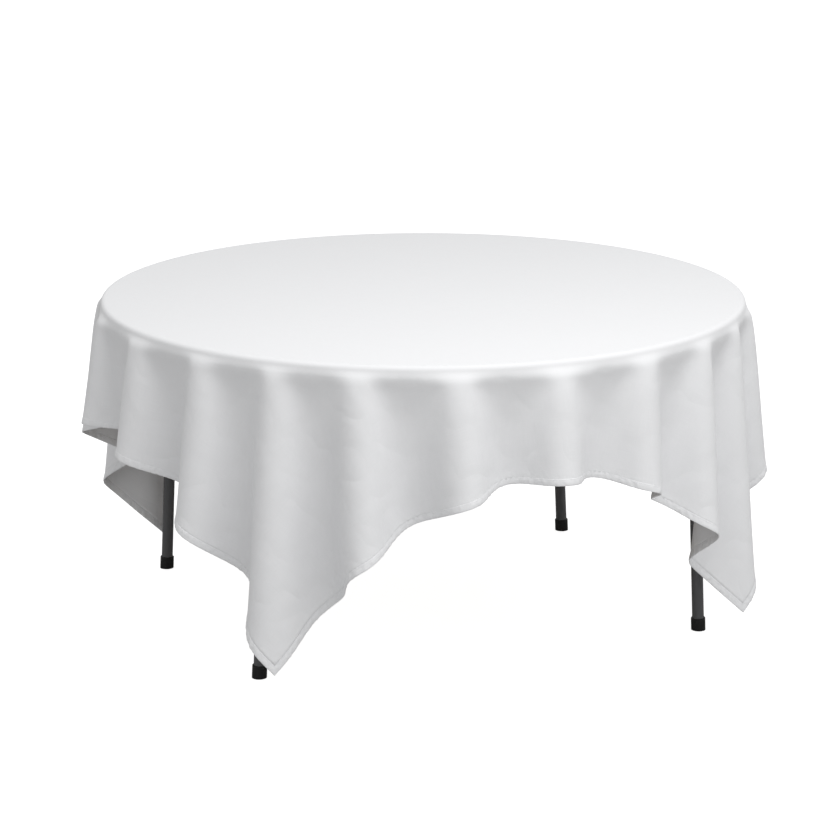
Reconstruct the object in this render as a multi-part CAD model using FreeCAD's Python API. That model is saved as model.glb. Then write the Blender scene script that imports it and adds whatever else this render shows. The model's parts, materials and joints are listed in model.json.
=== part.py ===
import FreeCAD
import Part
import math
import os

from FreeCAD import Vector

# A square tablecloth over a round folding banquet table. Millimetres, +Z up.
# The origin is on the floor, under the middle of the table.
# +X runs across the two leg frames, +Y runs along their hinge axes.

# Table top
topRadius = 762.0
topSurface = 764.0
plywoodThickness = 19.0
edgeThickness = 12.0
edgeDepth = 45.0
edgeRounding = 9.0
edgeFlangeWidth = 20.0
edgeFlangeThickness = 3.0
underside = topSurface - plywoodThickness

# Leg frames
tubeDiameter = 28.0
tubeWall = 1.5
crossTubeDiameter = 22.0
pivotDrop = 19.0
pivotHeight = underside - pivotDrop
pivotSpread = 498.0
footSpread = 535.0
legHalfSpacing = 425.0
frameOffset = 16.0
crossTubeDistance = 250.0
footCapDiameter = 34.0
footCapHeight = 30.0
footCapFloor = 6.0
splay = math.atan((footSpread - pivotSpread) / pivotHeight)
tubeRadius = tubeDiameter / 2
tubeBore = tubeRadius - tubeWall

# Pressed steel rails, channels that open downwards
railInner = 463.0
railWidth = 25.0
railDepth = 32.0
railWall = 2.0
railHalfLength = 530.0
railCapThickness = 2.5
railScrewPitch = 200.0

# Hinge pins of the leg frames, in nylon bushes
pinDiameter = 16.0
pinClearance = 0.08
bushDiameter = 20.0
bushFlangeDiameter = 26.0
bushFlange = 1.7
pinPlugLength = 20.0
pivotTubeEnd = railInner - 2.0
pushNutDiameter = 23.0
pushNutThickness = 1.6
pushNutGap = 0.5

# Folding braces: two equal flat links. Their fixed pins are equally far from the leg hinge,
# one under the top and one down the leg, so that the links fold flat with the leg.
braceReach = 215.0
linkHalfWidth = 10.0
linkThickness = 4.0
linkGap = 1.0
bracePlate = 3.0
bracePlateGap = 0.5
bracePinDiameter = 8.0
braceHeadDiameter = 14.0
braceHeadThickness = 2.3
tabHalfWidth = 11.0
mountHalfWidth = 14.0
mountFlangeWidth = 36.0

# Wood screws
screwDiameter = 4.0
screwHole = 4.4
screwHeadDiameter = 8.0
screwHead = 3.0
screwLength = 14.0

# Tablecloth: a square of fabric with a turned hem
clothSide = 2057.0
clothTurn = math.radians(4.0)
clothThickness = 0.8
clothRadius = topRadius + 1.2
hemWidth = 15.0
hemThickness = 2.0
sideFlare = 0.36
cornerFlare = 0.07
fluteDepth = 34.0
flutesRound = 24
clothSteps = 36
dropRows = [0.0, 0.06, 0.45, 1.0]

zAxis = Vector(0, 0, 1)
yAxis = Vector(0, 1, 0)


def cylinder(radius, length, base, direction):
    return Part.makeCylinder(radius, length, base, direction)


def box(low, high):
    return Part.makeBox(high[0] - low[0], high[1] - low[1], high[2] - low[2], Vector(*low))


def tube(outer, bore, length, base, direction):
    return cylinder(outer, length, base, direction).cut(cylinder(bore, length, base, direction))


def halfTurn(shape):
    """The same shape turned half round the table's axis."""
    turned = shape.copy()
    turned.rotate(Vector(0, 0, 0), zAxis, 180)
    return turned


def save(name, shape):
    shape.exportStep("parts/" + name + ".step")


def group(shapes):
    return Part.makeCompound(shapes)


def alongLeg(distance, y):
    """A point on a right-hand leg's axis, measured down from the hinge."""
    x = pivotSpread + distance * math.sin(splay)
    z = pivotHeight - distance * math.cos(splay)
    return Vector(x, y, z)


# ---- table top ----

def plywoodTop(screwPoints):
    disc = cylinder(topRadius - edgeThickness, plywoodThickness, Vector(0, 0, underside), zAxis)
    for point in screwPoints:
        base = Vector(point.x, point.y, underside)
        disc = disc.cut(cylinder(screwDiameter / 2, screwLength, base, zAxis))
    return disc


def edgeMoulding():
    """A deep plastic ring round the plywood, with a flange that carries its edge."""
    bottom = topSurface - edgeDepth
    ring = tube(topRadius, topRadius - edgeThickness, edgeDepth, Vector(0, 0, bottom), zAxis)
    rims = [edge for edge in ring.Edges
            if isinstance(edge.Curve, Part.Circle) and abs(edge.Curve.Radius - topRadius) < 0.01]
    ring = ring.makeFillet(edgeRounding, rims)
    inner = topRadius - edgeThickness
    seat = Vector(0, 0, underside - edgeFlangeThickness)
    flange = tube(inner, inner - edgeFlangeWidth, edgeFlangeThickness, seat, zAxis)
    return ring.fuse(flange).removeSplitter()


def woodScrew(point, seat):
    """A pan-head screw driven upwards, with its head under the sheet metal at seat."""
    head = cylinder(screwHeadDiameter / 2, screwHead, Vector(point.x, point.y, seat - screwHead), zAxis)
    crown = [edge for edge in head.Edges if abs(edge.BoundBox.ZMax - (seat - screwHead)) < 0.01
             and isinstance(edge.Curve, Part.Circle)]
    head = head.makeFillet(screwHead * 0.45, crown)
    length = underside + screwLength - seat
    return head.fuse(cylinder(screwDiameter / 2, length, Vector(point.x, point.y, seat), zAxis))


# ---- rails ----

def railScrewPoints(side):
    middle = side * (railInner + railWidth / 2)
    return [Vector(step * railScrewPitch, middle, 0) for step in range(-2, 3)]


def rail(side):
    near = min(side * railInner, side * (railInner + railWidth))
    bottom = underside - railDepth
    channel = box((-railHalfLength, near, bottom), (railHalfLength, near + railWidth, underside))
    hollow = box((-railHalfLength, near + railWall, bottom),
                 (railHalfLength, near + railWidth - railWall, underside - railWall))
    channel = channel.cut(hollow)
    for end in (-1, 1):
        start = Vector(end * pivotSpread, near, pivotHeight)
        channel = channel.cut(cylinder(bushDiameter / 2, railWidth, start, yAxis))
    for point in railScrewPoints(side):
        base = Vector(point.x, point.y, underside - railWall)
        channel = channel.cut(cylinder(screwHole / 2, railWall, base, zAxis))
    return channel


def railEndCaps():
    caps = []
    for side in (-1, 1):
        near = min(side * railInner, side * (railInner + railWidth))
        for end in (-1, 1):
            start = min(end * railHalfLength, end * (railHalfLength + railCapThickness))
            plate = box((start, near, underside - railDepth),
                        (start + railCapThickness, near + railWidth, underside))
            upright = [edge for edge in plate.Edges if abs(edge.tangentAt(edge.FirstParameter).x) > 0.9]
            caps.append(plate.makeFillet(railCapThickness, upright))
    return group(caps)


def pivotBushes():
    bushes = []
    for side in (-1, 1):
        direction = yAxis * side
        for end in (-1, 1):
            face = Vector(end * pivotSpread, side * railInner, pivotHeight)
            flangeStart = face - direction * bushFlange
            body = cylinder(bushDiameter / 2, railWidth, face, direction)
            flange = cylinder(bushFlangeDiameter / 2, bushFlange, flangeStart, direction)
            bore = cylinder(pinDiameter / 2 + pinClearance, railWidth + bushFlange, flangeStart, direction)
            bushes.append(body.fuse(flange).cut(bore))
    return group(bushes)


# ---- leg frame, right-hand side ----

def pivotTube():
    start = Vector(pivotSpread, -pivotTubeEnd, pivotHeight)
    return tube(tubeRadius, tubeBore, 2 * pivotTubeEnd, start, yAxis)


def legY(side):
    return side * legHalfSpacing - frameOffset


def legAxis():
    return Vector(math.sin(splay), 0, -math.cos(splay))


def legTube(side):
    """From the pivot tube, where its top end is notched, down into the foot cap."""
    length = (pivotHeight - footCapFloor) / math.cos(splay)
    leg = tube(tubeRadius, tubeBore, length, alongLeg(0, legY(side)), legAxis())
    notch = cylinder(tubeRadius, 2 * pivotTubeEnd, Vector(pivotSpread, -pivotTubeEnd, pivotHeight), yAxis)
    above = box((pivotSpread - 3 * tubeDiameter, -topRadius, pivotHeight),
                (pivotSpread + 3 * tubeDiameter, topRadius, topSurface))
    return leg.cut(notch).cut(above)


def footCap(side):
    """A rubber cup with a flat sole on the floor."""
    length = pivotHeight / math.cos(splay)
    start = alongLeg(length - footCapHeight, legY(side))
    cup = cylinder(footCapDiameter / 2, 2 * footCapHeight, start, legAxis())
    lip = [edge for edge in cup.Edges if isinstance(edge.Curve, Part.Circle)
           and edge.Curve.Center.distanceToPoint(start) < 0.01]
    cup = cup.makeFillet(1.5, lip)
    tubeEnd = (pivotHeight - footCapFloor) / math.cos(splay)
    cup = cup.cut(cylinder(tubeRadius, tubeEnd, alongLeg(0, legY(side)), legAxis()))
    ground = box((0, -topRadius, -2 * footCapHeight), (topRadius, topRadius, 0))
    return cup.cut(ground)


def crossTube():
    near = alongLeg(crossTubeDistance, legY(-1))
    bar = tube(crossTubeDiameter / 2, crossTubeDiameter / 2 - tubeWall, 2 * legHalfSpacing, near, yAxis)
    for side in (-1, 1):
        bar = bar.cut(cylinder(tubeRadius, 2 * crossTubeDistance, alongLeg(0, legY(side)), legAxis()))
    return bar


def pivotPins():
    pins = []
    for side in (-1, 1):
        direction = yAxis * side
        end = Vector(pivotSpread, side * pivotTubeEnd, pivotHeight)
        plug = cylinder(tubeBore, pinPlugLength, end - direction * pinPlugLength, direction)
        reach = railInner + railWidth - pivotTubeEnd + pushNutGap + pushNutThickness + 1.5
        pins.append(plug.fuse(cylinder(pinDiameter / 2, reach, end, direction)))
    return group(pins)


def pushNuts():
    nuts = []
    for side in (-1, 1):
        direction = yAxis * side
        start = Vector(pivotSpread, side * (railInner + railWidth + pushNutGap), pivotHeight)
        nuts.append(tube(pushNutDiameter / 2, pinDiameter / 2, pushNutThickness, start, direction))
    return group(nuts)


# ---- folding brace, right-hand side ----

def mountPoint(y):
    return Vector(pivotSpread - braceReach, y, pivotHeight)


def tabPoint(y):
    return alongLeg(braceReach, y)


def elbowPoint(y):
    return (mountPoint(y) + tabPoint(y)) * 0.5


def flatLink(first, last, halfWidth, thickness):
    """A flat bar with round ends, from first to last, that is thickness wide along Y."""
    direction = last - first
    length = direction.Length
    bar = Part.makeBox(length, thickness, 2 * halfWidth, Vector(0, 0, -halfWidth))
    ends = [cylinder(halfWidth, thickness, Vector(x, 0, 0), yAxis) for x in (0, length)]
    bar = bar.fuse(ends).removeSplitter()
    bar.rotate(Vector(0, 0, 0), yAxis, -math.degrees(math.atan2(direction.z, direction.x)))
    bar.translate(first)
    return bar


def drill(shape, centre):
    """A brace pin's hole, with clearance."""
    start = centre - yAxis * topRadius
    return shape.cut(cylinder(bracePinDiameter / 2 + pinClearance, 2 * topRadius, start, yAxis))


def upperLink():
    bar = flatLink(mountPoint(linkGap), elbowPoint(linkGap), linkHalfWidth, linkThickness)
    return drill(drill(bar, mountPoint(0)), elbowPoint(0))


def lowerLink():
    y = -linkGap - linkThickness
    bar = flatLink(elbowPoint(y), tabPoint(y), linkHalfWidth, linkThickness)
    return drill(drill(bar, elbowPoint(0)), tabPoint(0))


def headedPin(centre, innerY, headY, side):
    """A rivet along Y from innerY to headY, with a domed head beyond headY."""
    direction = yAxis * side
    start = Vector(centre.x, innerY, centre.z)
    shank = cylinder(bracePinDiameter / 2, abs(headY - innerY), start, direction)
    headStart = Vector(centre.x, headY, centre.z)
    head = cylinder(braceHeadDiameter / 2, braceHeadThickness, headStart, direction)
    outer = [edge for edge in head.Edges if isinstance(edge.Curve, Part.Circle)
             and edge.Curve.Center.distanceToPoint(headStart) > braceHeadThickness / 2]
    return shank.fuse(head.makeFillet(braceHeadThickness * 0.8, outer))


def elbowRivet():
    """It is fixed in the upper link and stops short of the lower one."""
    return headedPin(elbowPoint(0), 0, linkGap + linkThickness + 0.2, 1)


def mountPlateY():
    return linkGap + linkThickness + bracePlateGap


def mountScrewPoints():
    start = mountPlateY() + bracePlate
    spots = [start + mountFlangeWidth * share for share in (0.3, 0.75)]
    return [Vector(mountPoint(0).x, y, 0) for y in spots]


def braceMount():
    """A bent steel plate under the top, which holds the upper link's pin."""
    y = mountPlateY()
    centre = mountPoint(y)
    ear = cylinder(mountHalfWidth, bracePlate, centre, yAxis)
    left = centre.x - mountHalfWidth
    right = centre.x + mountHalfWidth
    web = box((left, y, centre.z), (right, y + bracePlate, underside))
    flange = box((left, y, underside - bracePlate), (right, y + bracePlate + mountFlangeWidth, underside))
    plate = ear.fuse([web, flange]).removeSplitter()
    plate = plate.cut(cylinder(bracePinDiameter / 2, bracePlate, centre, yAxis))
    for point in mountScrewPoints():
        base = Vector(point.x, point.y, underside - bracePlate)
        plate = plate.cut(cylinder(screwHole / 2, bracePlate, base, zAxis))
    return plate


def mountPin():
    return headedPin(mountPoint(0), linkGap, mountPlateY() + bracePlate, 1)


def braceTab():
    """A plate welded to the cross tube, which holds the lower link's pin."""
    y = -mountPlateY() - bracePlate
    tab = flatLink(tabPoint(y), alongLeg(crossTubeDistance, y), tabHalfWidth, bracePlate)
    axis = alongLeg(crossTubeDistance, -topRadius)
    tab = tab.cut(cylinder(crossTubeDiameter / 2, 2 * topRadius, axis, yAxis))
    return tab.cut(cylinder(bracePinDiameter / 2, bracePlate, tabPoint(y), yAxis))


def tabPin():
    return headedPin(tabPoint(0), -linkGap, -mountPlateY() - bracePlate, -1)


# ---- tablecloth ----

def overhang(angle):
    """How much cloth lies beyond the edge of the table in this direction."""
    turned = angle - clothTurn
    reach = clothSide / 2 / max(abs(math.cos(turned)), abs(math.sin(turned)))
    return reach - topRadius


def clothPoint(angle, fallen, outward):
    """A point of the cloth's drop, at a length of cloth below the edge and a distance off its inside."""
    corner = math.sin(2 * (angle - clothTurn)) ** 2
    flare = sideFlare + (cornerFlare - sideFlare) * corner ** 0.5
    tilt = math.atan(flare)
    longest = clothSide / math.sqrt(2) - topRadius
    wave = 0.5 - 0.5 * math.cos(flutesRound * (angle - clothTurn))
    radius = clothRadius + fallen * math.sin(tilt) + fluteDepth * corner * wave * fallen / longest + outward
    return Vector(radius * math.cos(angle), radius * math.sin(angle), topSurface - fallen * math.cos(tilt))


def clothShell(corner, rowsAt, thickness):
    """A quarter of the drop as one closed shell; rowsAt gives its rows' lengths of cloth at an angle."""
    start = clothTurn + corner * math.pi / 2
    angles = [start + step * math.pi / 2 / clothSteps for step in range(clothSteps + 1)]
    inside = [[clothPoint(angle, fallen, 0) for fallen in rowsAt(angle)] for angle in angles]
    outside = [[clothPoint(angle, fallen, thickness) for fallen in rowsAt(angle)] for angle in angles]
    faces = []

    def quad(a, b, c, d):
        for ring in ((a, b, c, a), (a, c, d, a)):
            faces.append(Part.Face(Part.makePolygon(list(ring))))

    last = len(inside[0]) - 1
    for step in range(clothSteps):
        for row in range(last):
            below = row + 1
            beside = step + 1
            quad(inside[step][row], inside[beside][row], inside[beside][below], inside[step][below])
            quad(outside[step][row], outside[step][below], outside[beside][below], outside[beside][row])
        for row in (0, last):
            quad(inside[step][row], outside[step][row], outside[step + 1][row], inside[step + 1][row])
    for step in (0, clothSteps):
        for row in range(last):
            quad(inside[step][row], inside[step][row + 1], outside[step][row + 1], outside[step][row])
    solid = Part.Solid(Part.Shell(faces))
    if solid.Volume < 0:
        solid.reverse()
    return solid


def dropQuarter(corner):
    def rowsAt(angle):
        return [(overhang(angle) - hemWidth) * share for share in dropRows]
    return clothShell(corner, rowsAt, clothThickness)


def hemQuarter(corner):
    def rowsAt(angle):
        return [overhang(angle) - hemWidth, overhang(angle)]
    return clothShell(corner, rowsAt, hemThickness)


def clothTop():
    return cylinder(clothRadius + clothThickness, clothThickness, Vector(0, 0, topSurface), zAxis)


# ---- all the pieces ----

def makeTableTop():
    rightMount = mountScrewPoints()
    leftMount = [Vector(-point.x, -point.y, 0) for point in rightMount]
    railPoints = railScrewPoints(-1) + railScrewPoints(1)
    save("plywood_top", plywoodTop(railPoints + rightMount + leftMount))
    save("edge_moulding", edgeMoulding())
    save("rail_front", rail(-1))
    save("rail_back", rail(1))
    save("rail_end_caps", railEndCaps())
    save("rail_screws", group([woodScrew(point, underside - railWall) for point in railPoints]))
    save("pivot_bushes", pivotBushes())
    screws = [woodScrew(point, underside - bracePlate) for point in rightMount + leftMount]
    save("brace_mount_screws", group(screws))


def makeSides():
    """Each piece of the right-hand side, and the same piece turned half round for the left."""
    pieces = {
        "pivot_tube": pivotTube(),
        "cross_tube": crossTube(),
        "pivot_pins": pivotPins(),
        "push_nuts": pushNuts(),
        "brace_tab": braceTab(),
        "brace_tab_pin": tabPin(),
        "brace_mount": braceMount(),
        "brace_mount_pin": mountPin(),
        "brace_upper_link": upperLink(),
        "brace_lower_link": lowerLink(),
        "brace_elbow_rivet": elbowRivet(),
    }
    for name, shape in pieces.items():
        save(name + "_right", shape)
        save(name + "_left", halfTurn(shape))
    for side, here, opposite in ((-1, "front", "back"), (1, "back", "front")):
        leg = legTube(side)
        cap = footCap(side)
        save("leg_right_" + here, leg)
        save("leg_left_" + opposite, halfTurn(leg))
        save("foot_cap_right_" + here, cap)
        save("foot_cap_left_" + opposite, halfTurn(cap))


def makeCloth():
    save("cloth_top", clothTop())
    for corner, name in enumerate(("back_right", "back_left", "front_left", "front_right")):
        save("cloth_drop_" + name, dropQuarter(corner))
        save("hem_" + name, hemQuarter(corner))


os.makedirs("parts", exist_ok=True)
makeTableTop()
makeSides()
makeCloth()
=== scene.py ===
import json
import math

import bpy
import numpy as np
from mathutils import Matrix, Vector


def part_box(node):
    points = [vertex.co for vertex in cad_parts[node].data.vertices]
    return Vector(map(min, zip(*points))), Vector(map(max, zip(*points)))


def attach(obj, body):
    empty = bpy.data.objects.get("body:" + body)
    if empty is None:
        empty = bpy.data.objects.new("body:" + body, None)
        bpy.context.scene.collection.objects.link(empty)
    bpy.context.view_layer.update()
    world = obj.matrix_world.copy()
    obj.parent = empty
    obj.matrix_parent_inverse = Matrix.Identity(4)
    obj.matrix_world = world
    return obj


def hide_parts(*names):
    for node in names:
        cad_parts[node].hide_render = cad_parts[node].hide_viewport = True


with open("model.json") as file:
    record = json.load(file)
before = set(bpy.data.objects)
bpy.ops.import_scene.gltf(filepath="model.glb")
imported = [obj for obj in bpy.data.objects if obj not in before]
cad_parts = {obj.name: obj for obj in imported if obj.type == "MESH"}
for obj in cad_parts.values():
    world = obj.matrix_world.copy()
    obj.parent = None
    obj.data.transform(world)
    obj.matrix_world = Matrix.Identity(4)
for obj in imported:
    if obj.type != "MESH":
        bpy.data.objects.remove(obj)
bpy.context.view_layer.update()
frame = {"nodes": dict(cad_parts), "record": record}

edgeLow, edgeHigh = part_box("edge_moulding")

# The table that the cloth lies on, measured from its edge moulding
table = {
    "radius": edgeHigh.x,
    "top": edgeHigh.z,
    "edgeDepth": edgeHigh.z - edgeLow.z,
    "edgeRounding": 0.009,
}

# The cloth as it was cut and hemmed. Lengths are metres, angles are degrees round the table from +X.
cloth = {
    "side": 2.057,
    "turn": 2.0,
    "thickness": 0.0008,
    "simCells": 160,
    "around": 704,          # faces round the cloth, and the rings they make
    "topRings": [0.05, 0.18, 0.34, 0.5, 0.63, 0.705, 0.733],
    "rimRings": (0.746, 0.788),
    "rimCount": 15,
    "dropCount": 44,
    "rimBlend": (0.757, 0.8),
    "weight": 0.2,          # kg per square metre
    "stiffness": 3.3e-05,
    "shearGive": 0.5,
    "grip": 0.3,            # friction on the table
    "tuck": 0.05,           # how far a fold may swing in under the edge
    "drag": 2.5,            # how fast the air and the fabric use up a swing, per second
    "seconds": 2.6,
    "lastDrag": 8.0,        # and in the last moments, so that it comes to rest
    "lastSeconds": 0.6,
    "heldInside": 0.042,    # the cloth lies still on the table up to this far inside the rim
    "tetherPast": 0.03,
    "tetherGive": 1.002,
    "pushPast": 0.1,
    "stepsPerSecond": 750,
    "foldSeed": 0.2,
    "foldPush": 4.5,
    "foldPushSeconds": 1.4,
    # where the folds stand out (+) or go in (-): angle, strength, half width
    "folds": [
        (-174, -1, 5), (-154, 1, 6), (-143.5, -1.3, 5), (-135.5, 1.2, 4), (-131.5, -0.3, 3),
        (-126.5, 0.5, 4), (-122, -0.5, 3), (-116, 1.2, 5), (-109.5, -1, 4), (-104.3, 1.2, 4.5),
        (-99.5, -1, 3.5), (-93, 0.8, 5), (-87, -0.7, 3), (-82, 0.5, 3), (-76.5, -0.7, 3),
        (-71, 1, 5), (-62, -0.9, 5), (-54, 1.1, 5), (-44, 0.5, 4), (-34, -0.5, 5), (-20, 1.3, 9),
        (-6, -0.8, 5), (151, -0.8, 5), (167, 1.8, 8),
    ],
}

# A turned hem, folded twice and stitched down. Each row of the profile is a distance up from the cut
# edge and how far the surface stands off the middle of the cloth, in millimetres.
hem = {
    "overlap": 0.004,
    "pitch": 0.004,
    "outside": [
        (15.2, 0.30), (14.6, 0.62), (13.2, 0.80), (12.4, 0.66), (11.4, 0.95), (8.0, 1.25), (3.5, 1.2),
        (0.8, 0.95), (-0.3, 0.5),
    ],
    "inside": [
        (-0.3, -0.5), (0.8, -0.95), (3.5, -1.2), (8.0, -1.25), (11.4, -0.95), (12.4, -0.66), (13.2, -0.85),
        (14.9, -0.95), (15.4, -0.45),
    ],
    "stitchLine": 12.4,
    "stitchStand": 0.8,
    "puckerHeight": 0.0011,
    "puckerLengths": (0.0115, 0.0173, 0.0262),
    "seed": 4,
}

stitch = {"pitch": 0.0032, "length": 0.0026, "radius": 0.00032, "smallest": 0.86, "largest": 1.1, "seed": 7}


def foldPattern(angle):
    pattern = np.zeros_like(angle)
    for middle, strength, halfWidth in cloth["folds"]:
        away = (np.degrees(angle) - middle + 180) % 360 - 180
        pattern += strength * np.exp(-(away / halfWidth) ** 2)
    return np.round(pattern, 4)


def tableGap(points, stand):
    # signed distance from each point to the round top with its rounded edge, and the way out of it
    radius = np.sqrt(points[0] * points[0] + points[1] * points[1]) + np.float32(1e-9)
    middle = np.float32(table["top"] - table["edgeDepth"] / 2)
    dz = points[2] - middle
    past = radius - np.float32(table["radius"] - table["edgeRounding"])
    above = np.abs(dz) - np.float32(table["edgeDepth"] / 2 - table["edgeRounding"])
    outer = (past > 0) | (above > 0)
    wayR = np.where(outer, np.maximum(past, 0), (past >= above) * 1.0)
    wayZ = np.where(outer, np.maximum(above, 0), (above > past) * 1.0) * np.sign(dz)
    length = np.sqrt(wayR * wayR + wayZ * wayZ) + np.float32(1e-9)
    gap = np.where(outer, length, np.maximum(past, above)) - np.float32(table["edgeRounding"] + stand)
    return gap, wayR / length, wayZ / length, radius


def drapeCloth():
    # the flat square falls over the table: stretch is held by distance constraints, bending is a weak force.
    # The start is rounded and each step only adds, multiplies and takes roots, so that it repeats exactly.
    count = cloth["simCells"]
    cell = cloth["side"] / count
    line = (np.arange(count + 1) / count - 0.5) * cloth["side"]
    u, v = np.meshgrid(line, line)
    c = math.cos(math.radians(cloth["turn"]))
    s = math.sin(math.radians(cloth["turn"]))
    level = table["top"] + cloth["thickness"]
    x = np.stack([u * c - v * s, u * s + v * c, np.full_like(u, level)])
    x = np.round(x, 6).astype(np.float32)
    flat = x.copy()
    radius = np.sqrt(x[0] * x[0] + x[1] * x[1]) + np.float32(1e-9)
    angle = np.arctan2(x[1].astype(np.float64), x[0].astype(np.float64))
    held = radius < table["radius"] - cloth["heldInside"]
    free = (~held).astype(np.float32)
    pattern = foldPattern(angle)
    over = np.maximum(radius - table["radius"], 0).astype(np.float32)
    x[2] += cloth["foldSeed"] * over * pattern
    edge = np.float32(table["radius"])
    rim = np.stack([x[0] / radius * edge, x[1] / radius * edge, np.full_like(radius, level)])
    tethered = over > cloth["tetherPast"]
    reach = (over * cloth["tetherGive"]).astype(np.float32)
    bend = np.float32(cloth["stiffness"] / cell ** 4 / cloth["weight"])
    rise = np.minimum(over / cloth["pushPast"], 1)
    push = (cloth["foldPush"] * pattern * rise * free).astype(np.float32)

    # threads both ways, then diagonals, in groups that share no point
    every = slice(None)
    groups = []
    for start in (0, 1):
        pairs = (count - start + 1) // 2
        first = slice(start, start + 2 * pairs - 1, 2)
        second = slice(start + 1, start + 2 * pairs, 2)
        groups.append(((every, every, first), (every, every, second), cell, 0.0))
        groups.append(((every, first, every), (every, second, every), cell, 0.0))
    for start in (0, 1):
        pairs = (count - start + 1) // 2
        first = slice(start, start + 2 * pairs - 1, 2)
        second = slice(start + 1, start + 2 * pairs, 2)
        left, right = slice(0, count), slice(1, count + 1)
        groups.append(((every, first, left), (every, second, right), cell * math.sqrt(2), cloth["shearGive"]))
        groups.append(((every, first, right), (every, second, left), cell * math.sqrt(2), cloth["shearGive"]))
    springs = []
    for a, b, length, give in groups:
        total = free[a[1:]] + free[b[1:]] + give
        total = np.where(total > 0, total, 1)
        springs.append((a, b, np.float32(length), (free[a[1:]] / total).astype(np.float32),
                        (free[b[1:]] / total).astype(np.float32)))

    step = np.float32(1 / cloth["stepsPerSecond"])
    speed = np.zeros_like(x)
    steps = int(cloth["seconds"] * cloth["stepsPerSecond"])
    under = np.float32(table["top"] - table["edgeDepth"])
    for number in range(steps):
        time = number * step
        force = np.zeros_like(x)
        curl = (x[:, :, :-2] - 2 * x[:, :, 1:-1] + x[:, :, 2:]) * bend
        force[:, :, :-2] -= curl
        force[:, :, 2:] -= curl
        force[:, :, 1:-1] += 2 * curl
        curl = (x[:, :-2] - 2 * x[:, 1:-1] + x[:, 2:]) * bend
        force[:, :-2] -= curl
        force[:, 2:] -= curl
        force[:, 1:-1] += 2 * curl
        twist = (x[:, :-1, :-1] - x[:, 1:, :-1] - x[:, :-1, 1:] + x[:, 1:, 1:]) * bend
        force[:, :-1, :-1] -= twist
        force[:, 1:, :-1] += twist
        force[:, :-1, 1:] += twist
        force[:, 1:, 1:] -= twist
        force[2] -= np.float32(9.81)
        if time < cloth["foldPushSeconds"]:
            ease = push * np.float32(1 - time / cloth["foldPushSeconds"])
            away = ease / (np.sqrt(x[0] * x[0] + x[1] * x[1]) + np.float32(1e-9))
            force[0] += away * x[0]
            force[1] += away * x[1]
        speed += force * free * step
        damping = cloth["drag"] if time < cloth["seconds"] - cloth["lastSeconds"] else cloth["lastDrag"]
        speed *= np.float32(1 / (1 + step * damping))
        moved = x + step * speed
        for a, b, length, giveA, giveB in springs:
            gap = moved[a] - moved[b]
            gap *= 1 - length / np.sqrt(gap[0] * gap[0] + gap[1] * gap[1] + gap[2] * gap[2])
            moved[a] -= gap * giveA
            moved[b] += gap * giveB
        pull = moved - rim
        length = np.sqrt((pull * pull).sum(0)) + np.float32(1e-9)
        moved = rim + pull * np.where(tethered & (length > reach), reach / length, np.float32(1))
        gap, wayR, wayZ, radius = tableGap(moved, cloth["thickness"])
        inward = radius - np.float32(table["radius"] - cloth["tuck"])
        low = (moved[2] < under) & (inward < 0) & (gap > inward)
        gap = np.where(low, inward, gap)
        wayR = np.where(low, 1, wayR)
        wayZ = np.where(low, 0, wayZ)
        lift = np.where(gap < 0, -gap, 0) * free
        normal = np.stack([wayR * moved[0] / radius, wayR * moved[1] / radius, wayZ])
        moved = moved + lift * normal
        slide = moved - x
        slide = slide - (slide * normal).sum(0) * normal
        length = np.sqrt((slide * slide).sum(0)) + np.float32(1e-9)
        moved = moved - slide * np.minimum(1, cloth["grip"] * lift / length)
        moved = np.where(held, flat, moved).astype(np.float32)
        speed = (moved - x) / step
        x = moved
    return x.astype(np.float64)


def clothSurface(grid, across, along):
    # smooth surface through the draped grid, with its normal; places are metres from the middle of the square
    count = grid.shape[1] - 1
    wide = np.concatenate([2 * grid[:, :, :1] - grid[:, :, 1:2], grid,
                           2 * grid[:, :, -1:] - grid[:, :, -2:-1]], 2)
    wide = np.concatenate([2 * wide[:, :1] - wide[:, 1:2], wide, 2 * wide[:, -1:] - wide[:, -2:-1]], 1)

    def weights(place):
        cells = (place / cloth["side"] + 0.5) * count
        start = np.clip(np.floor(cells).astype(int), 0, count - 1)
        t = cells - start
        curve = [(1 - t) ** 3, 3 * t ** 3 - 6 * t ** 2 + 4, -3 * t ** 3 + 3 * t ** 2 + 3 * t + 1, t ** 3]
        slope = [-(1 - t) ** 2, 3 * t ** 2 - 4 * t, -3 * t ** 2 + 2 * t + 1, t ** 2]
        return start, [w / 6 for w in curve], [w / 2 for w in slope]

    i, curveU, slopeU = weights(across)
    j, curveV, slopeV = weights(along)
    place = np.zeros((3,) + across.shape)
    slopeAcross = np.zeros_like(place)
    slopeAlong = np.zeros_like(place)
    for a in range(4):
        for b in range(4):
            point = wide[:, j + b, i + a]
            place += curveU[a] * curveV[b] * point
            slopeAcross += slopeU[a] * curveV[b] * point
            slopeAlong += curveU[a] * slopeV[b] * point
    normal = np.cross(slopeAcross, slopeAlong, axis=0)
    normal /= np.sqrt((normal * normal).sum(0)) + 1e-12
    return place, normal


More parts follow.
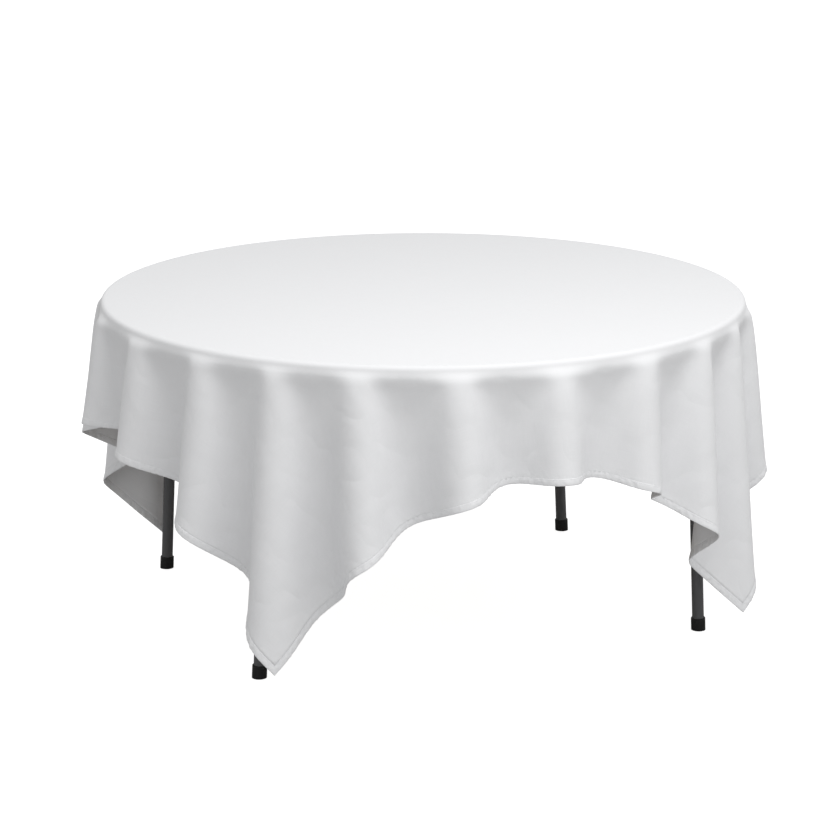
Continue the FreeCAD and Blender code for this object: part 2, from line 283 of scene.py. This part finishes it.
def wrapRim(place, across, along):
    # near the rim the cloth lies on the rounded edge, which is finer than the draped grid
    c = math.cos(math.radians(cloth["turn"]))
    s = math.sin(math.radians(cloth["turn"]))
    flatX = across * c - along * s
    flatY = across * s + along * c
    radius = np.hypot(flatX, flatY) + 1e-9
    straight = table["radius"] - table["edgeRounding"]
    bend = table["edgeRounding"] + cloth["thickness"]
    past = np.maximum(radius - straight, 0)
    angle = np.minimum(past / bend, math.pi / 2)
    out = np.where(past > 0, straight + bend * np.sin(angle), radius)
    down = bend * (1 - np.cos(angle)) + np.maximum(past - bend * math.pi / 2, 0)
    wrapped = np.stack([flatX / radius * out, flatY / radius * out, table["top"] + cloth["thickness"] - down])
    start, end = cloth["rimBlend"]
    share = np.clip((end - radius) / (end - start), 0, 1)
    share = 0.94 * share * share * (3 - 2 * share)
    return place + (wrapped - place) * share


def offTheTable(points, stand):
    gap, wayR, wayZ, radius = tableGap(points, stand)
    lift = np.where(gap < 0, -gap, 0)
    return points + lift * np.stack([wayR * points[0] / radius, wayR * points[1] / radius, wayZ])


def addPiece(name, points, faces, material, body, uv=None):
    mesh = bpy.data.meshes.new(name)
    mesh.from_pydata(points, [], faces)
    if uv is not None:
        layer = mesh.uv_layers.new(name="cut")
        loops = np.empty(len(mesh.loops), dtype=np.int32)
        mesh.loops.foreach_get("vertex_index", loops)
        layer.data.foreach_set("uv", np.asarray(uv, dtype=np.float32)[loops].ravel())
    mesh.polygons.foreach_set("use_smooth", [True] * len(mesh.polygons))
    mesh.materials.append(material)
    mesh.update()
    piece = bpy.data.objects.new(name, mesh)
    bpy.context.scene.collection.objects.link(piece)
    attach(piece, body)
    return piece


def squarePlaces(half, steps):
    # places round a square of the cloth, the same distance apart on all four sides
    run = (2 * np.arange(steps) / steps - 1) * half
    across = np.concatenate([run, np.full(steps, half), -run, np.full(steps, -half)])
    along = np.concatenate([np.full(steps, -half), run, np.full(steps, half), -run])
    return across, along


def meshNormals(points, faces):
    # mean direction of the faces round each point
    a, b, c, d = (points[faces[:, k]] for k in range(4))
    way = np.cross(c - a, d - b)
    total = np.zeros_like(points)
    for k in range(4):
        np.add.at(total, faces[:, k], way)
    return total / (np.linalg.norm(total, axis=1, keepdims=True) + 1e-12)


def buildCloth(grid, material):
    # rings on the cut square: circles on the table, close together over the rim, square at the hem
    half = cloth["side"] / 2 - hem["outside"][0][0] / 1000 + hem["overlap"]
    acrossEdge, alongEdge = squarePlaces(half, cloth["around"] // 4)
    reach = np.hypot(acrossEdge, alongEdge)
    rings = [np.full_like(reach, radius) for radius in cloth["topRings"]]
    rimStart, rimEnd = cloth["rimRings"]
    rings += [np.full_like(reach, radius) for radius in np.linspace(rimStart, rimEnd, cloth["rimCount"])]
    rings += [rimEnd + (reach - rimEnd) * share for share in np.linspace(0, 1, cloth["dropCount"] + 1)[1:]]
    across = np.concatenate([ring * acrossEdge / reach for ring in rings] + [[0.0]])
    along = np.concatenate([ring * alongEdge / reach for ring in rings] + [[0.0]])
    place = clothSurface(grid, across, along)[0]
    place = offTheTable(wrapRim(place, across, along), cloth["thickness"]).T
    count = len(reach)
    ring = np.arange(count)
    after = (ring + 1) % count
    centre = len(rings) * count
    top = [np.stack([ring + k, ring + k + count, after + k + count, after + k], -1)
           for k in range(0, (len(rings) - 1) * count, count)]
    top = np.concatenate(top)
    normal = meshNormals(place, top)
    normal[centre] = (0, 0, 1)
    fan = np.stack([ring, after, np.full(count, centre)], -1)
    total = len(place)
    edge = ring + (len(rings) - 1) * count
    edgeAfter = after + (len(rings) - 1) * count
    faces = top.tolist() + fan.tolist() + (top[:, ::-1] + total).tolist() + (fan[:, ::-1] + total).tolist()
    faces += np.stack([edgeAfter, edge, edge + total, edgeAfter + total], -1).tolist()
    upper = place + normal * cloth["thickness"] / 2
    lower = place - normal * cloth["thickness"] / 2
    cut = np.stack([across, along], -1) / cloth["side"] + 0.5
    return addPiece("cloth", np.concatenate([upper, lower]).tolist(), faces, material, "tablecloth",
                    np.concatenate([cut, cut]))


def hemPlaces(inset):
    # points round the square, inset from the cut edge and mitred at the corners, and how far round each is
    steps = int(round(cloth["side"] / hem["pitch"]))
    across, along = squarePlaces(cloth["side"] / 2 - inset, steps)
    return across, along, np.arange(4 * steps) * cloth["side"] / steps


def puckers(distance, inset):
    # small ripples that the stitching pulls into the hem
    chance = np.random.default_rng(hem["seed"])
    ripple = np.zeros_like(distance)
    for length in hem["puckerLengths"]:
        waves = round(4 * cloth["side"] / length)
        swells = round(waves / 9)
        swell = 0.6 + 0.4 * np.sin(2 * np.pi * (distance / (4 * cloth["side"]) * swells + chance.random()))
        ripple += swell * np.sin(2 * np.pi * (distance / (4 * cloth["side"]) * waves + chance.random()))
    fade = np.clip((15.0 - inset) / 9.0, 0, 1)
    return hem["puckerHeight"] * ripple / 2 * fade * fade * (3 - 2 * fade)


def hemRow(grid, inset, stand):
    across, along, distance = hemPlaces(inset / 1000)
    place, normal = clothSurface(grid, across, along)
    place = place + normal * (stand / 1000 + puckers(distance, inset))
    return place.T, np.stack([across, along], -1) / cloth["side"] + 0.5


def buildHem(grid, material):
    profile = hem["outside"] + hem["inside"]
    rows = [hemRow(grid, inset, stand) for inset, stand in profile]
    points = np.concatenate([row[0] for row in rows])
    cut = np.concatenate([row[1] for row in rows])
    count = len(rows[0][0])
    ring = np.arange(count)
    after = (ring + 1) % count
    faces = []
    for k in range(len(rows)):
        here = k * count
        there = (k + 1) % len(rows) * count
        faces.append(np.stack([ring + here, ring + there, after + there, after + here], -1))
    return addPiece("hem", points.tolist(), np.concatenate(faces).tolist(), material, "tablecloth", cut)


def stitchTree(material):
    tree = bpy.data.node_groups.new("hemStitches", "GeometryNodeTree")
    tree.interface.new_socket("Line", in_out="INPUT", socket_type="NodeSocketGeometry")
    inputs = {}
    for name, kind in (("Pitch", "NodeSocketFloat"), ("Length", "NodeSocketFloat"),
                       ("Radius", "NodeSocketFloat"), ("Seed", "NodeSocketInt")):
        inputs[name] = tree.interface.new_socket(name, in_out="INPUT", socket_type=kind).identifier
    tree.interface.new_socket("Stitches", in_out="OUTPUT", socket_type="NodeSocketGeometry")
    add, link = tree.nodes.new, tree.links.new
    given = add("NodeGroupInput")
    curve = add("GeometryNodeMeshToCurve")
    spaced = add("GeometryNodeResampleCurve")
    spaced.mode = "LENGTH"
    link(given.outputs["Line"], curve.inputs["Mesh"])
    link(curve.outputs["Curve"], spaced.inputs["Curve"])
    link(given.outputs["Pitch"], spaced.inputs["Length"])
    bead = add("GeometryNodeMeshUVSphere")
    bead.inputs["Segments"].default_value = 6
    bead.inputs["Rings"].default_value = 4
    bead.inputs["Radius"].default_value = 1.0
    halfLength = add("ShaderNodeMath")
    halfLength.operation = "MULTIPLY"
    halfLength.inputs[1].default_value = 0.5
    link(given.outputs["Length"], halfLength.inputs[0])
    size = add("ShaderNodeCombineXYZ")
    link(given.outputs["Radius"], size.inputs["X"])
    link(given.outputs["Radius"], size.inputs["Y"])
    link(halfLength.outputs[0], size.inputs["Z"])
    shaped = add("GeometryNodeTransform")
    link(bead.outputs["Mesh"], shaped.inputs["Geometry"])
    link(size.outputs[0], shaped.inputs["Scale"])
    along = add("GeometryNodeInputTangent")
    turn = add("FunctionNodeAlignRotationToVector")
    turn.axis = "Z"
    link(along.outputs[0], turn.inputs["Vector"])
    vary = add("FunctionNodeRandomValue")
    vary.data_type = "FLOAT"
    link(given.outputs["Seed"], vary.inputs["Seed"])
    for socket in vary.inputs:
        if socket.enabled and socket.name == "Min":
            socket.default_value = stitch["smallest"]
        if socket.enabled and socket.name == "Max":
            socket.default_value = stitch["largest"]
    placed = add("GeometryNodeInstanceOnPoints")
    link(spaced.outputs["Curve"], placed.inputs["Points"])
    link(shaped.outputs["Geometry"], placed.inputs["Instance"])
    link(turn.outputs["Rotation"], placed.inputs["Rotation"])
    link([socket for socket in vary.outputs if socket.enabled][0], placed.inputs["Scale"])
    real = add("GeometryNodeRealizeInstances")
    smooth = add("GeometryNodeSetShadeSmooth")
    finish = add("GeometryNodeSetMaterial")
    finish.inputs["Material"].default_value = material
    result = add("NodeGroupOutput")
    link(placed.outputs["Instances"], real.inputs["Geometry"])
    link(real.outputs["Geometry"], smooth.inputs["Geometry"])
    link(smooth.outputs["Geometry"], finish.inputs["Geometry"])
    link(finish.outputs["Geometry"], result.inputs[0])
    return tree, inputs


def bakeTree(piece, tree, values):
    # runs a node tree on a piece once and keeps the result as a plain mesh
    modifier = piece.modifiers.new("nodes", "NODES")
    modifier.node_group = tree
    for identifier, value in values.items():
        modifier[identifier] = value
    made = bpy.data.meshes.new_from_object(piece.evaluated_get(bpy.context.evaluated_depsgraph_get()))
    piece.modifiers.clear()
    made.name = piece.name
    piece.data = made


def buildStitches(grid, name, stand, tree, inputs):
    points = hemRow(grid, hem["stitchLine"], stand)[0]
    count = len(points)
    mesh = bpy.data.meshes.new(name)
    mesh.from_pydata(points.tolist(), [(k, (k + 1) % count) for k in range(count)], [])
    piece = bpy.data.objects.new(name, mesh)
    bpy.context.scene.collection.objects.link(piece)
    bakeTree(piece, tree, {inputs["Pitch"]: stitch["pitch"], inputs["Length"]: stitch["length"],
                           inputs["Radius"]: stitch["radius"], inputs["Seed"]: stitch["seed"]})
    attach(piece, "tablecloth")
    return piece


def mathNode(tree, operation, *values):
    node = tree.nodes.new("ShaderNodeMath")
    node.operation = operation
    for socket, value in zip(node.inputs, values):
        if isinstance(value, (int, float)):
            socket.default_value = value
        else:
            tree.links.new(value, socket)
    return node.outputs[0]


def newGroup(name, takes, gives):
    tree = bpy.data.node_groups.new(name, "ShaderNodeTree")
    for socket, kind, value in takes:
        made = tree.interface.new_socket(socket, in_out="INPUT", socket_type=kind)
        if value is not None:
            made.default_value = value
    for socket, kind in gives:
        tree.interface.new_socket(socket, in_out="OUTPUT", socket_type=kind)
    return tree, tree.nodes.new("NodeGroupInput").outputs, tree.nodes.new("NodeGroupOutput").inputs


def noiseNode(tree, vector, scale, detail, roughness=0.5):
    node = tree.nodes.new("ShaderNodeTexNoise")
    tree.links.new(vector, node.inputs["Vector"])
    if isinstance(scale, (int, float)):
        node.inputs["Scale"].default_value = scale
    else:
        tree.links.new(scale, node.inputs["Scale"])
    node.inputs["Detail"].default_value = detail
    node.inputs["Roughness"].default_value = roughness
    return node.outputs["Fac"]


def scaled(tree, vector, size):
    node = tree.nodes.new("ShaderNodeMapping")
    node.inputs["Scale"].default_value = size
    tree.links.new(vector, node.inputs["Vector"])
    return node.outputs[0]


def weaveGroup():
    # plain weave of threads over and under each other, with uneven thicker threads both ways
    tree, given, result = newGroup(
        "plainWeave",
        [("Vector", "NodeSocketVector", None), ("Threads per Metre", "NodeSocketFloat", 2200.0)],
        [("Height", "NodeSocketFloat"), ("Slubs", "NodeSocketFloat")])
    split = tree.nodes.new("ShaderNodeSeparateXYZ")
    tree.links.new(given["Vector"], split.inputs[0])
    turnU, turnV = (
        mathNode(tree, "MULTIPLY", mathNode(tree, "MULTIPLY", place, given["Threads per Metre"]), math.pi)
        for place in (split.outputs[0], split.outputs[1]))
    over = mathNode(tree, "MULTIPLY", mathNode(tree, "SINE", turnU), mathNode(tree, "SINE", turnV))
    ribU = mathNode(tree, "ABSOLUTE", mathNode(tree, "COSINE", turnU))
    ribV = mathNode(tree, "ABSOLUTE", mathNode(tree, "COSINE", turnV))
    high = mathNode(tree, "MAXIMUM", mathNode(tree, "SUBTRACT", 1.0, ribU),
                    mathNode(tree, "SUBTRACT", 1.0, ribV))
    height = mathNode(tree, "ADD", mathNode(tree, "MULTIPLY", over, 0.35),
                      mathNode(tree, "MULTIPLY", high, 0.65))
    tree.links.new(height, result["Height"])
    warp = noiseNode(tree, scaled(tree, given["Vector"], (1400, 26, 1)), 1.0, 2.0)
    weft = noiseNode(tree, scaled(tree, given["Vector"], (26, 1400, 1)), 1.0, 2.0)
    tree.links.new(mathNode(tree, "MULTIPLY", mathNode(tree, "ADD", warp, weft), 0.5), result["Slubs"])
    return tree


def wearGroup():
    # patchy rubbing and dust, as a mask
    tree, given, result = newGroup(
        "wear",
        [("Vector", "NodeSocketVector", None), ("Scale", "NodeSocketFloat", 20.0),
         ("Amount", "NodeSocketFloat", 0.5)],
        [("Mask", "NodeSocketFloat"), ("Cloud", "NodeSocketFloat")])
    cloud = noiseNode(tree, given["Vector"], given["Scale"], 5.0, 0.62)
    fine = noiseNode(tree, given["Vector"], mathNode(tree, "MULTIPLY", given["Scale"], 9.0), 3.0, 0.6)
    joined = mathNode(tree, "ADD", mathNode(tree, "MULTIPLY", cloud, 0.7),
                      mathNode(tree, "MULTIPLY", fine, 0.3))
    low = mathNode(tree, "SUBTRACT", 0.78, mathNode(tree, "MULTIPLY", given["Amount"], 0.3))
    rise = mathNode(tree, "DIVIDE", mathNode(tree, "SUBTRACT", joined, low), 0.14)
    clamp = tree.nodes.new("ShaderNodeClamp")
    tree.links.new(rise, clamp.inputs["Value"])
    tree.links.new(clamp.outputs[0], result["Mask"])
    tree.links.new(cloud, result["Cloud"])
    return tree


def pebbleGroup():
    # small rounded bumps, as on powder coat, moulded plastic and rubber
    tree, given, result = newGroup(
        "pebble",
        [("Vector", "NodeSocketVector", None), ("Scale", "NodeSocketFloat", 600.0)],
        [("Height", "NodeSocketFloat")])
    cells = tree.nodes.new("ShaderNodeTexVoronoi")
    cells.feature = "SMOOTH_F1"
    tree.links.new(given["Vector"], cells.inputs["Vector"])
    tree.links.new(given["Scale"], cells.inputs["Scale"])
    grain = noiseNode(tree, given["Vector"], given["Scale"], 2.0)
    joined = mathNode(tree, "SUBTRACT", mathNode(tree, "MULTIPLY", grain, 0.6),
                      mathNode(tree, "MULTIPLY", cells.outputs["Distance"], 0.5))
    tree.links.new(joined, result["Height"])
    return tree


def placeGroup(tree, group, vector, **values):
    node = tree.nodes.new("ShaderNodeGroup")
    node.node_tree = group
    tree.links.new(vector, node.inputs["Vector"])
    for name, value in values.items():
        node.inputs[name.replace("_", " ")].default_value = value
    return node.outputs


def mixColour(tree, mask, first, second):
    node = tree.nodes.new("ShaderNodeMix")
    node.data_type = "RGBA"
    sockets = [socket for socket in node.inputs if socket.enabled]
    factor, a, b = sockets[0], sockets[-2], sockets[-1]
    tree.links.new(mask, factor)
    for socket, value in ((a, first), (b, second)):
        if isinstance(value, tuple):
            socket.default_value = (*value, 1.0)
        else:
            tree.links.new(value, socket)
    return [socket for socket in node.outputs if socket.enabled][0]


def rangeNode(tree, value, low, high, toLow, toHigh):
    node = tree.nodes.new("ShaderNodeMapRange")
    tree.links.new(value, node.inputs["Value"])
    for name, number in (("From Min", low), ("From Max", high), ("To Min", toLow), ("To Max", toHigh)):
        node.inputs[name].default_value = number
    return node.outputs["Result"]


def bumpNode(tree, height, distance, strength=1.0, normal=None):
    node = tree.nodes.new("ShaderNodeBump")
    node.inputs["Strength"].default_value = strength
    node.inputs["Distance"].default_value = distance
    tree.links.new(height, node.inputs["Height"])
    if normal is not None:
        tree.links.new(normal, node.inputs["Normal"])
    return node.outputs["Normal"]


def newMaterial(name, **values):
    material = bpy.data.materials.new(name)
    material.use_nodes = True
    tree = material.node_tree
    shader = tree.nodes["Principled BSDF"]
    for socket, value in values.items():
        shader.inputs[socket.replace("_", " ")].default_value = value
    return material, tree, shader.inputs, tree.nodes.new("ShaderNodeTexCoord").outputs


fabric = {
    "colour": (0.855, 0.858, 0.868),
    "slubColour": (0.81, 0.814, 0.826),
    "threadColour": (0.9, 0.905, 0.92),
    # painted shade for the grooves of the thread's twist
    "threadShade": (0.74, 0.75, 0.77),
    "threadsPerMetre": 2200.0,
    "weaveDepth": 0.00005,
    "slubDepth": 0.0002,
    "rippleScale": 150.0,
    "rippleDepth": 0.003,
    "swellScale": 7.0,
    "swellDepth": 0.004,
    "creaseScale": 17.0,
    "creaseCap": 0.12,      # crests are cut off here, so only the bottoms of the creases are sharp
    "creaseDepth": 0.01,
    "creasesFrom": (0.77, 0.86),    # metres out from the middle where the creases fade in
}


def clothMaterial(weave):
    material, tree, shader, coordinates = newMaterial("whiteCotton", Roughness=0.82, Specular_IOR_Level=0.28,
                                                      Sheen_Weight=0.12, Sheen_Roughness=0.45)
    cut = scaled(tree, coordinates["UV"], (cloth["side"], cloth["side"], 1))
    threads = placeGroup(tree, weave, cut, Threads_per_Metre=fabric["threadsPerMetre"])
    slubs = rangeNode(tree, threads["Slubs"], 0.35, 0.75, 0.0, 1.0)
    tree.links.new(mixColour(tree, slubs, fabric["colour"], fabric["slubColour"]), shader["Base Color"])
    tree.links.new(rangeNode(tree, threads["Slubs"], 0.3, 0.7, 0.88, 0.76), shader["Roughness"])
    woven = bumpNode(tree, threads["Height"], fabric["weaveDepth"], 0.5)
    slubBump = bumpNode(tree, threads["Slubs"], fabric["slubDepth"], 0.5, woven)
    # ripples that the hem's stitching pulls into the cloth above it
    split = tree.nodes.new("ShaderNodeSeparateXYZ")
    tree.links.new(coordinates["UV"], split.inputs[0])
    edge = None
    for axis in (0, 1):
        fromMiddle = mathNode(tree, "ABSOLUTE", mathNode(tree, "SUBTRACT", split.outputs[axis], 0.5))
        edge = fromMiddle if edge is None else mathNode(tree, "MAXIMUM", edge, fromMiddle)
    near = rangeNode(tree, edge, 0.5 - 0.045 / cloth["side"], 0.5 - 0.012 / cloth["side"], 0.0, 1.0)
    ripple = noiseNode(tree, coordinates["UV"], fabric["rippleScale"], 1.0)
    ripples = mathNode(tree, "MULTIPLY", mathNode(tree, "MULTIPLY", near, near), ripple)
    soft = noiseNode(tree, coordinates["UV"], fabric["swellScale"], 2.0)
    # soft creases in the hanging part, none on the table
    fromCentre = tree.nodes.new("ShaderNodeVectorMath")
    fromCentre.operation = "DISTANCE"
    fromCentre.inputs[1].default_value = (0.5, 0.5, 0)
    tree.links.new(coordinates["UV"], fromCentre.inputs[0])
    start, full = (distance / cloth["side"] for distance in fabric["creasesFrom"])
    hanging = rangeNode(tree, fromCentre.outputs["Value"], start, full, 0.0, 1.0)
    valleys = noiseNode(tree, coordinates["UV"], fabric["creaseScale"], 1.5)
    valleys = mathNode(tree, "ABSOLUTE", mathNode(tree, "SUBTRACT", valleys, 0.5))
    creases = mathNode(tree, "MULTIPLY", mathNode(tree, "MINIMUM", valleys, fabric["creaseCap"]), hanging)
    height = mathNode(tree, "ADD", mathNode(tree, "MULTIPLY", ripples, fabric["rippleDepth"]),
                      mathNode(tree, "MULTIPLY", soft, fabric["swellDepth"]))
    height = mathNode(tree, "ADD", height, mathNode(tree, "MULTIPLY", creases, fabric["creaseDepth"]))
    swell = bumpNode(tree, height, 1.0, 0.6, slubBump)
    tree.links.new(swell, shader["Normal"])
    return material


def threadMaterial():
    material, tree, shader, coordinates = newMaterial("whiteThread", Roughness=0.6, Specular_IOR_Level=0.4,
                                                      Sheen_Weight=0.2)
    twist = tree.nodes.new("ShaderNodeTexWave")
    twist.wave_type = "BANDS"
    twist.bands_direction = "DIAGONAL"
    twist.inputs["Scale"].default_value = 900.0
    tree.links.new(coordinates["Object"], twist.inputs["Vector"])
    # the darker bands are painted shade in the grooves of the twist, on thread that is white all over
    tree.links.new(mixColour(tree, twist.outputs["Fac"], fabric["threadShade"], fabric["threadColour"]),
                   shader["Base Color"])
    tree.links.new(bumpNode(tree, twist.outputs["Fac"], 0.00006, 0.7), shader["Normal"])
    return material


def coatedMaterial(name, colour, worn, scale, pebble, wear, pebbleScale=700.0, pebbleDepth=0.00008,
                   rough=(0.36, 0.5), **values):
    # one coat of paint, plastic or rubber with a pebbled skin and patches of wear
    material, tree, shader, coordinates = newMaterial(name, **values)
    rubbed = placeGroup(tree, wear, coordinates["Object"], Scale=scale, Amount=0.5)
    skin = placeGroup(tree, pebble, coordinates["Object"], Scale=pebbleScale)
    tree.links.new(mixColour(tree, rubbed["Mask"], colour, worn), shader["Base Color"])
    tree.links.new(rangeNode(tree, rubbed["Cloud"], 0.3, 0.7, *rough), shader["Roughness"])
    tree.links.new(bumpNode(tree, skin["Height"], pebbleDepth, 0.8), shader["Normal"])
    return material


def zincMaterial(wear):
    material, tree, shader, coordinates = newMaterial("zincPlate", Metallic=0.95)
    rubbed = placeGroup(tree, wear, coordinates["Object"], Scale=60.0, Amount=0.6)
    drawn = noiseNode(tree, scaled(tree, coordinates["Object"], (60, 1400, 1400)), 1.0, 3.0)
    tree.links.new(mixColour(tree, rubbed["Mask"], (0.62, 0.62, 0.6), (0.42, 0.41, 0.38)),
                   shader["Base Color"])
    tree.links.new(rangeNode(tree, rubbed["Cloud"], 0.3, 0.7, 0.28, 0.46), shader["Roughness"])
    tree.links.new(bumpNode(tree, drawn, 0.00004, 0.6), shader["Normal"])
    return material


veneer = {
    "dark": (0.53, 0.37, 0.22),
    "light": (0.69, 0.515, 0.33),
    "pores": (0.30, 0.19, 0.10),
    "rubbed": (0.40, 0.30, 0.2),
}


def plywoodMaterial(wear):
    # birch face veneer under a thin varnish
    material, tree, shader, coordinates = newMaterial("birchPlywood", Coat_Weight=0.15, Coat_Roughness=0.35)
    place = coordinates["Object"]
    waver = noiseNode(tree, scaled(tree, place, (1.1, 38, 38)), 1.0, 4.0)
    grain = tree.nodes.new("ShaderNodeTexWave")
    grain.wave_type = "BANDS"
    grain.bands_direction = "Y"
    grain.inputs["Scale"].default_value = 1.1
    grain.inputs["Distortion"].default_value = 13.0
    grain.inputs["Detail"].default_value = 3.0
    grain.inputs["Detail Scale"].default_value = 0.6
    tree.links.new(scaled(tree, place, (0.35, 1.6, 1.6)), grain.inputs["Vector"])
    pores = noiseNode(tree, scaled(tree, place, (40, 1600, 1600)), 1.0, 2.0)
    figure = mathNode(tree, "ADD", mathNode(tree, "MULTIPLY", grain.outputs["Fac"], 0.35),
                      mathNode(tree, "MULTIPLY", waver, 0.65))
    face = mixColour(tree, figure, veneer["dark"], veneer["light"])
    dark = rangeNode(tree, pores, 0.62, 0.74, 0.0, 0.5)
    face = mixColour(tree, dark, face, veneer["pores"])
    rubbed = placeGroup(tree, wear, place, Scale=6.0, Amount=0.35)
    face = mixColour(tree, mathNode(tree, "MULTIPLY", rubbed["Mask"], 0.25), face, veneer["rubbed"])
    tree.links.new(face, shader["Base Color"])
    tree.links.new(rangeNode(tree, rubbed["Cloud"], 0.3, 0.7, 0.42, 0.6), shader["Roughness"])
    tree.links.new(bumpNode(tree, pores, 0.0001, 0.6), shader["Normal"])
    return material


print("draping the cloth")
grid = drapeCloth()
across = np.sqrt(((grid[:, :, 1:] - grid[:, :, :-1]) ** 2).sum(0)) / (cloth["side"] / cloth["simCells"])
print("draped: lowest point %.3f m, most stretch %.3f" % (grid[2].min(), across.max()))

weave, wear, pebble = weaveGroup(), wearGroup(), pebbleGroup()
white = clothMaterial(weave)
thread = threadMaterial()
finishes = {
    "grey_steel": coatedMaterial(
        "greyPowderCoat", (0.1, 0.101, 0.105), (0.16, 0.16, 0.165), 26.0, pebble, wear,
        pebbleScale=900.0, rough=(0.34, 0.5), Specular_IOR_Level=0.5),
    "foot_rubber": coatedMaterial(
        "blackRubber", (0.012, 0.012, 0.012), (0.035, 0.034, 0.032), 50.0, pebble, wear,
        pebbleScale=1300.0, rough=(0.55, 0.8), Specular_IOR_Level=0.35),
    "edge_plastic": coatedMaterial(
        "blackEdging", (0.018, 0.018, 0.019), (0.04, 0.04, 0.04), 18.0, pebble, wear,
        pebbleScale=700.0, pebbleDepth=0.00005, rough=(0.4, 0.6)),
    "nylon": coatedMaterial(
        "whiteNylon", (0.72, 0.71, 0.66), (0.5, 0.49, 0.45), 90.0, pebble, wear,
        pebbleScale=1600.0, pebbleDepth=0.00003, rough=(0.3, 0.45)),
    "zinc_steel": zincMaterial(wear),
    "plywood": plywoodMaterial(wear),
}
print("finishes made")

sheet = buildCloth(grid, white)
hemPiece = buildHem(grid, white)
tree, inputs = stitchTree(thread)
stitchesOut = buildStitches(grid, "hem_stitches_outside", hem["stitchStand"], tree, inputs)
stitchesIn = buildStitches(grid, "hem_stitches_inside", -hem["stitchStand"], tree, inputs)
corners = ("back_right", "back_left", "front_left", "front_right")
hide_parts("cloth_top", *["cloth_drop_" + corner for corner in corners])
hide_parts(*["hem_" + corner for corner in corners])
print("cloth, hem and stitches made")

for part in frame["record"]["subparts"]:
    node = frame["nodes"][part["node"]]
    if part["material_slot"] in finishes:
        for slot in node.material_slots:
            slot.material = finishes[part["material_slot"]]
print("finishes put on the table")


studio = {
    "world": 0.63,
    "skySeen": 1.1,
    "lamp": 80.0,
    "lampSize": 2.2,
    "lampPlace": (0.3, -2.3, 3.8),
    "lampAim": (0.0, 0.0, 0.6),
    "floorColour": (0.52, 0.52, 0.52),
    "floorGlow": 0.9,
    "floorHalf": 60,
}
view = {
    "lens": 113.27,
    "yaw": 19.445,
    "pitch": 14.739,
    "away": 6.1637,
    "height": 2.071,
    "sensor": 36,
    "shiftX": -0.00381,
}


def buildStudio():
    world = bpy.data.worlds.new("studio")
    bpy.context.scene.world = world
    world.use_nodes = True
    sky = world.node_tree.nodes["Background"]
    sky.inputs["Color"].default_value = (1, 1, 1, 1)
    # seen past the end of the floor, the sky is as pale as the floor
    seen = world.node_tree.nodes.new("ShaderNodeLightPath").outputs["Is Camera Ray"]
    strength = rangeNode(world.node_tree, seen, 0.0, 1.0, studio["world"], studio["skySeen"])
    world.node_tree.links.new(strength, sky.inputs["Strength"])
    lamp = bpy.data.lights.new("softbox", "AREA")
    lamp.energy = studio["lamp"]
    lamp.size = studio["lampSize"]
    light = bpy.data.objects.new("softbox", lamp)
    light.location = studio["lampPlace"]
    aim = Vector(studio["lampAim"]) - light.location
    light.rotation_euler = aim.to_track_quat("-Z", "Y").to_euler()
    bpy.context.scene.collection.objects.link(light)
    mesh = bpy.data.meshes.new("floor")
    far = studio["floorHalf"]
    mesh.from_pydata([(-far, -far, 0), (far, -far, 0), (far, far, 0), (-far, far, 0)], [], [(0, 1, 2, 3)])
    floor = bpy.data.objects.new("floor", mesh)
    bpy.context.scene.collection.objects.link(floor)
    # the floor reads as a pale sweep, and throws back less light than it shows
    material, tree, shader, _ = newMaterial("paleFloor", Roughness=0.9, Specular_IOR_Level=0.1,
                                            Base_Color=(*studio["floorColour"], 1),
                                            Emission_Color=(1, 1, 1, 1))
    seen = tree.nodes.new("ShaderNodeLightPath").outputs["Is Camera Ray"]
    tree.links.new(mathNode(tree, "MULTIPLY", seen, studio["floorGlow"]), shader["Emission Strength"])
    mesh.materials.append(material)


def buildCamera():
    lens = bpy.data.cameras.new("camera")
    lens.sensor_width = view["sensor"]
    lens.lens = view["lens"]
    lens.shift_x = view["shiftX"]
    camera = bpy.data.objects.new("camera", lens)
    yaw = math.radians(view["yaw"])
    camera.location = (-view["away"] * math.sin(yaw), -view["away"] * math.cos(yaw), view["height"])
    camera.rotation_euler = (math.pi / 2 - math.radians(view["pitch"]), 0, -yaw)
    bpy.context.scene.collection.objects.link(camera)
    bpy.context.scene.camera = camera


buildStudio()
buildCamera()
bpy.context.scene.view_settings.view_transform = "Standard"
print("stage, lights and camera made")
